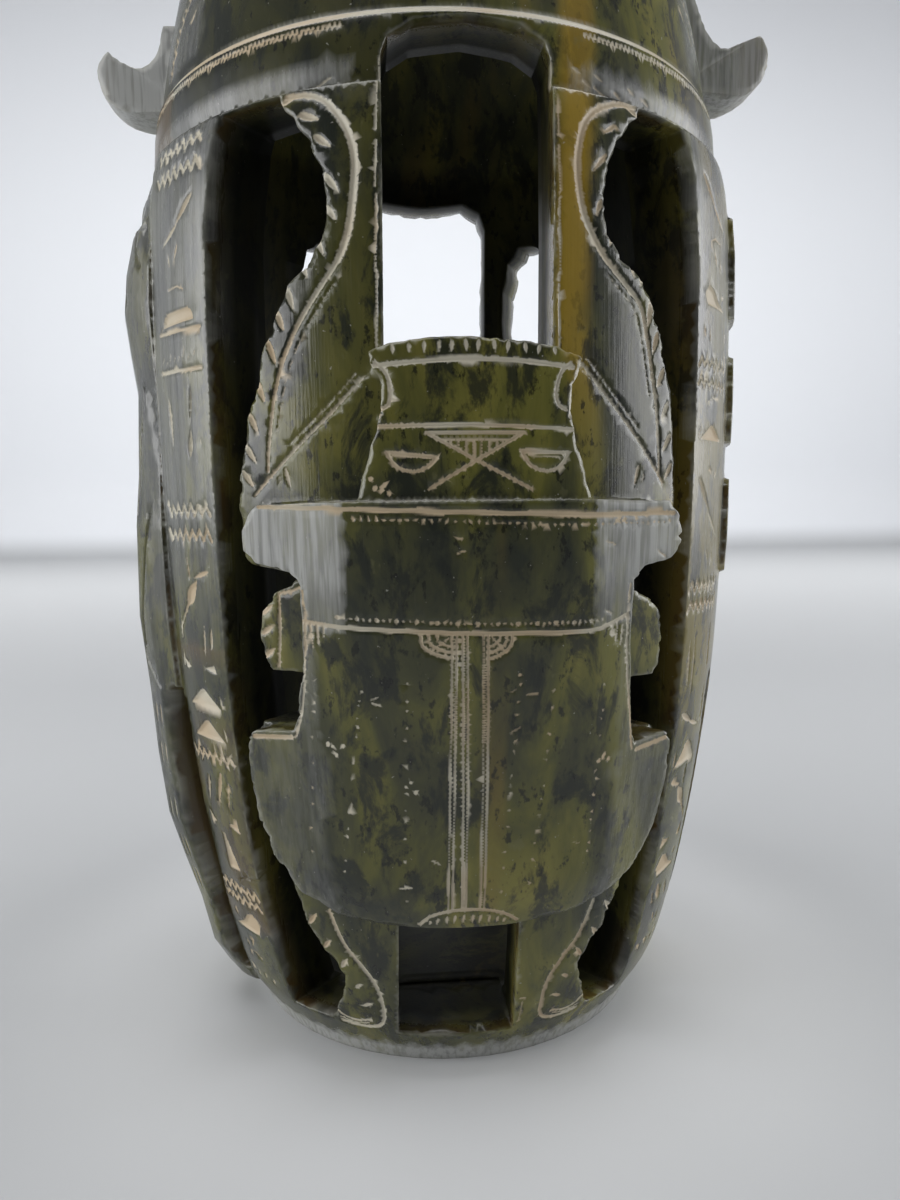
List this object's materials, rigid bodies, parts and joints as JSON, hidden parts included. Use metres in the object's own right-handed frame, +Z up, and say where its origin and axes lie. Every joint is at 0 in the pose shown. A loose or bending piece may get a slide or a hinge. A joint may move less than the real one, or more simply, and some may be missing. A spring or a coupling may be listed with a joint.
{
  "type": "openwork carved stone vase",
  "caption": "Tall pierced stone vase, hollow with an open mouth, carved ribs and serpent panels round a large scarab in relief, and a lug on each side of the neck.",
  "frame": {"origin": "centre of the flat underside the vase stands on", "axes": "+Z up along the vase's axis, front with the scarab towards -Y, one lug towards +X and one towards -X"},
  "size_m": [0.1434, 0.1308, 0.246],
  "materials": {
    "stone": "semi-polished mottled green-brown serpentine with pale engraved lines"
  },
  "bodies": {
    "root": {"vase": "stone"}
  },
  "joints": []
}
